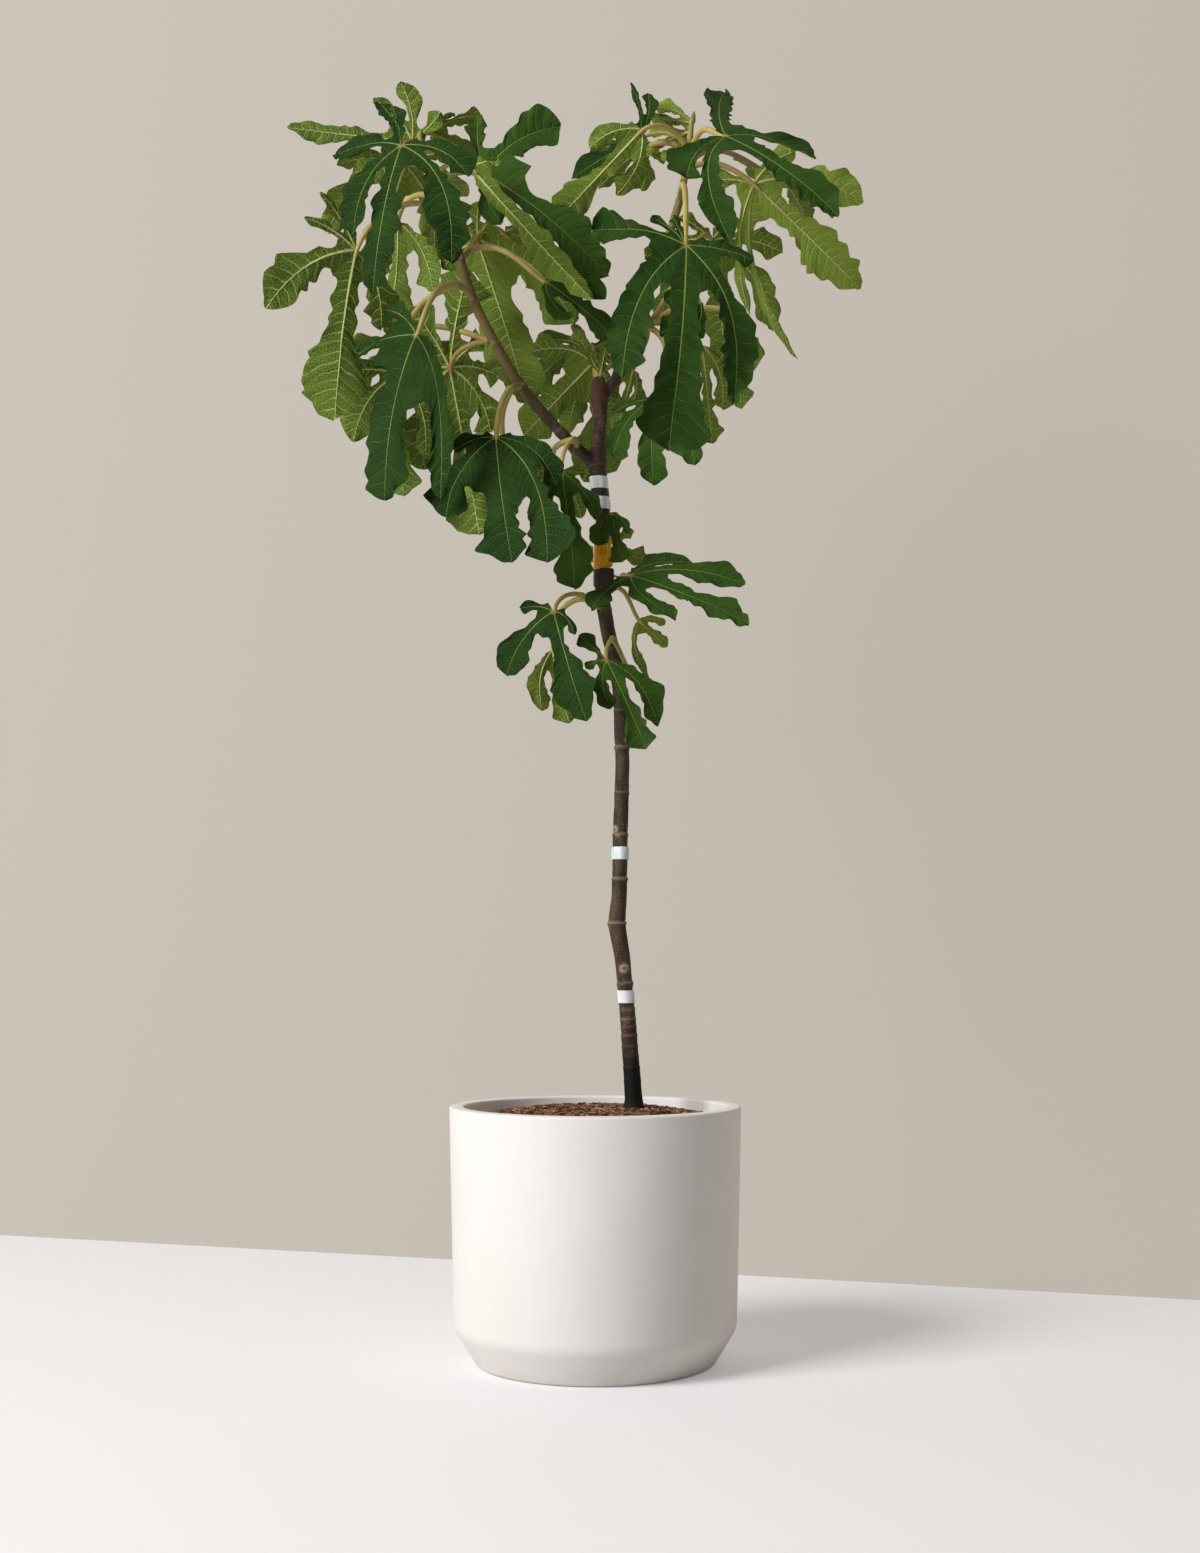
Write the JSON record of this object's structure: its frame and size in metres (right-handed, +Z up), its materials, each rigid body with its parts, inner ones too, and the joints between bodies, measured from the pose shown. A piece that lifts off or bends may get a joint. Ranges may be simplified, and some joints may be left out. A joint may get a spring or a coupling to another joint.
{
  "type": "fig tree in a planter",
  "caption": "A young fig tree with a forked trunk and large lobed leaves, growing from soil in a round tapered planter with thick walls.",
  "frame": {"origin": "centre of the planter's flat underside", "axes": "+Z up, +X to the right of the picture, -Y towards the camera"},
  "size_m": [0.6118, 0.3724, 1.3365],
  "materials": {
    "planter": "matt white cast composite",
    "soil": "rough chips of bark and coir",
    "bark": "rough grey-brown bark",
    "tie_white": "satin tape",
    "label_black": "satin tape",
    "label_yellow": "satin tape",
    "leaf": "dull leathery leaf with pale veins"
  },
  "bodies": {
    "root": {"planter": "planter", "soil": "soil", "trunk": "bark", "bough_left": "bark", "bough_right": "bark", "tie_low": "tie_white", "tie_middle": "tie_white", "tie_high": "tie_white", "tie_black": "label_black", "tie_top": "tie_white", "label_lower": "label_black", "label_upper": "label_yellow", "foliage_left_tip": "leaf", "foliage_left_inner": "leaf", "foliage_left_outer": "leaf", "foliage_left_back": "leaf", "foliage_low_left": "leaf", "foliage_fork_left": "leaf", "foliage_centre": "leaf", "foliage_right_tip": "leaf", "foliage_right_front": "leaf", "foliage_right_back": "leaf", "shoot_right": "leaf", "shoot_left": "leaf", "shoot_low": "leaf", "shoot_upper": "leaf"}
  },
  "joints": []
}
